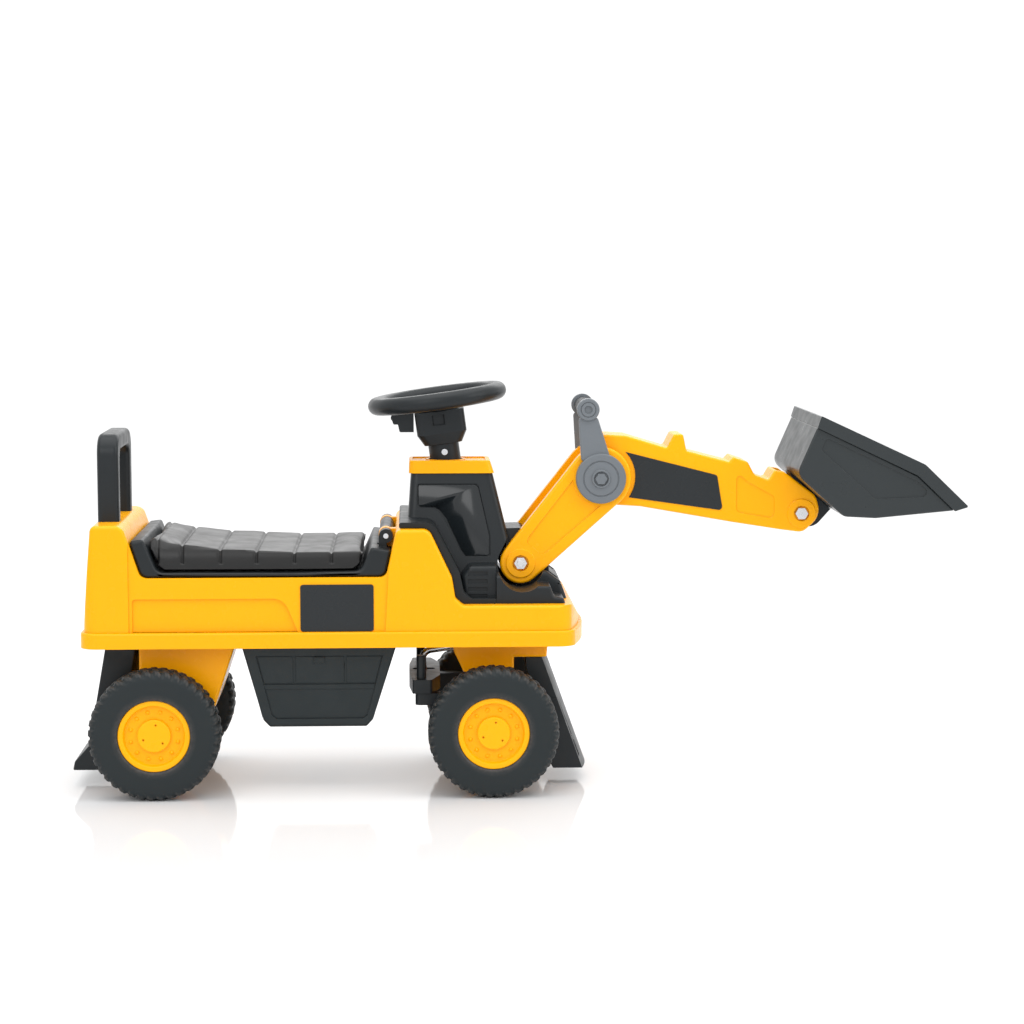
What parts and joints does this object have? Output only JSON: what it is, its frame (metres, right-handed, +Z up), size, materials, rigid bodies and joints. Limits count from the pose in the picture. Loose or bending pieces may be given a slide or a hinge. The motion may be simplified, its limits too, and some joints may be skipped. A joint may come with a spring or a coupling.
{
  "type": "ride-on digger",
  "caption": "Push-along ride-on digger: four wheels, steering wheel linked to the front pair, lifting seat over a tub, backrest hoop, and a lever-worked arm, boom and bucket.",
  "frame": {"origin": "on the floor, at the middle of the overall length and width", "axes": "+X forward towards the bucket, +Y to the rider's left, +Z up"},
  "size_m": [1.0323, 0.2608, 0.4696],
  "materials": {
    "yellow_shell": "moulded plastic, satin gloss",
    "hub_yellow": "moulded plastic, satin gloss",
    "black_moulding": "fine grained black moulded plastic",
    "dark_tub": "dark grey moulded plastic",
    "lever_grey": "mid grey moulded plastic",
    "tyre_plastic": "hard blow-moulded tyre, dull",
    "steel": "zinc plated",
    "seat_vinyl": "grained vinyl over foam, glossy",
    "plate_black": "blank printed plate"
  },
  "bodies": {
    "body": {"chassis_shell": "yellow_shell", "chassis_tray": "yellow_shell", "chassis_screws": "steel", "storage_bin": "dark_tub", "backrest_handle": "black_moulding", "rear_leg": "yellow_shell", "front_leg": "yellow_shell", "kingpins": "steel", "front_blade": "black_moulding", "rear_stabiliser": "black_moulding", "rear_axle": "steel", "axle_retainers": "steel", "side_plate_left": "plate_black", "side_plate_right": "plate_black", "cab_housing": "black_moulding", "cab_cap": "yellow_shell", "hood": "black_moulding", "column_bush": "black_moulding", "seat_hinge_pin": "steel", "arm_pivot_bolt": "steel"},
    "steering": {"steering_wheel": "black_moulding", "steering_housing": "black_moulding", "switch_pod": "black_moulding", "steering_sleeve": "black_moulding", "steering_screw": "steel", "steering_rod": "steel"},
    "horn": {"horn_button": "black_moulding"},
    "left_knuckle": {"knuckle_left": "black_moulding", "stub_axle_left": "steel"},
    "right_knuckle": {"knuckle_right": "black_moulding", "stub_axle_right": "steel"},
    "link": {"track_rod": "black_moulding"},
    "seat": {"seat_base": "black_moulding", "seat_pad": "seat_vinyl"},
    "arm": {"arm_plate_left": "yellow_shell", "arm_plate_right": "yellow_shell", "arm_brace": "yellow_shell"},
    "boom": {"boom_left": "yellow_shell", "boom_right": "yellow_shell", "boom_plate_left": "plate_black", "boom_plate_right": "plate_black", "lever_left": "lever_grey", "lever_right": "lever_grey", "lever_grip": "black_moulding", "elbow_bolt": "steel", "wrist_bolt": "steel"},
    "scoop": {"bucket": "dark_tub", "bucket_bracket": "black_moulding"},
    "wheel_front_left": {"tyre_front_left": "tyre_plastic", "hub_front_left": "hub_yellow", "hub_cap_front_left": "hub_yellow"},
    "wheel_front_right": {"tyre_front_right": "tyre_plastic", "hub_front_right": "hub_yellow", "hub_cap_front_right": "hub_yellow"},
    "wheel_rear_left": {"tyre_rear_left": "tyre_plastic", "hub_rear_left": "hub_yellow", "hub_cap_rear_left": "hub_yellow"},
    "wheel_rear_right": {"tyre_rear_right": "tyre_plastic", "hub_rear_right": "hub_yellow", "hub_cap_rear_right": "hub_yellow"}
  },
  "joints": [
    {"name": "steering_turn", "type": "hinge", "parent": "body", "child": "steering", "pos_m": [-0.092, 0, 0.45], "axis": [-0.134, 0, 0.991], "range_deg": [-30, 30]},
    {"name": "horn_press", "type": "slide", "parent": "steering", "child": "horn", "axis": [0.134, 0, -0.991], "range_m": [0, 0.0025], "stiffness_N_per_m": 400, "springref_m": -0.001},
    {"name": "left_wheel_steer", "type": "hinge", "parent": "body", "child": "left_knuckle", "pos_m": [-0.03, 0.067, 0.075], "axis": [0, 0, 1], "range_deg": [-22, 22]},
    {"name": "right_wheel_steer", "type": "hinge", "parent": "body", "child": "right_knuckle", "pos_m": [-0.03, -0.067, 0.075], "axis": [0, 0, 1], "range_deg": [-22, 22]},
    {"name": "link_swing", "type": "hinge", "parent": "left_knuckle", "child": "link", "pos_m": [-0.112, 0.067, 0.121], "axis": [0, 0, 1], "range_deg": [-22, 22]},
    {"name": "front_left_roll", "type": "hinge", "parent": "left_knuckle", "child": "wheel_front_left", "pos_m": [-0.03, 0.11, 0.075], "axis": [0, 1, 0], "continuous": true},
    {"name": "front_right_roll", "type": "hinge", "parent": "right_knuckle", "child": "wheel_front_right", "pos_m": [-0.03, -0.11, 0.075], "axis": [0, 1, 0], "continuous": true},
    {"name": "rear_left_roll", "type": "hinge", "parent": "body", "child": "wheel_rear_left", "pos_m": [-0.415, 0.11, 0.075], "axis": [0, 1, 0], "continuous": true},
    {"name": "rear_right_roll", "type": "hinge", "parent": "body", "child": "wheel_rear_right", "pos_m": [-0.415, -0.11, 0.075], "axis": [0, 1, 0], "continuous": true},
    {"name": "seat_lift", "type": "hinge", "parent": "body", "child": "seat", "pos_m": [-0.152, 0, 0.297], "axis": [0, 1, 0], "range_deg": [0, 75]},
    {"name": "arm_lift", "type": "hinge", "parent": "body", "child": "arm", "pos_m": [0.004, 0, 0.26], "axis": [0, -1, 0], "range_deg": [-30, 12]},
    {"name": "boom_swing", "type": "hinge", "parent": "arm", "child": "boom", "pos_m": [0.097, 0, 0.359], "axis": [0, 1, 0], "range_deg": [-25, 20]},
    {"name": "bucket_tip", "type": "hinge", "parent": "boom", "child": "scoop", "pos_m": [0.335, 0, 0.315], "axis": [0, 1, 0], "range_deg": [0, 85]}
  ],
  "couplings": [
    {"joint": "left_wheel_steer", "follows": "steering_turn", "ratio": 0.72},
    {"joint": "right_wheel_steer", "follows": "steering_turn", "ratio": 0.72},
    {"joint": "link_swing", "follows": "steering_turn", "ratio": -0.72}
  ]
}
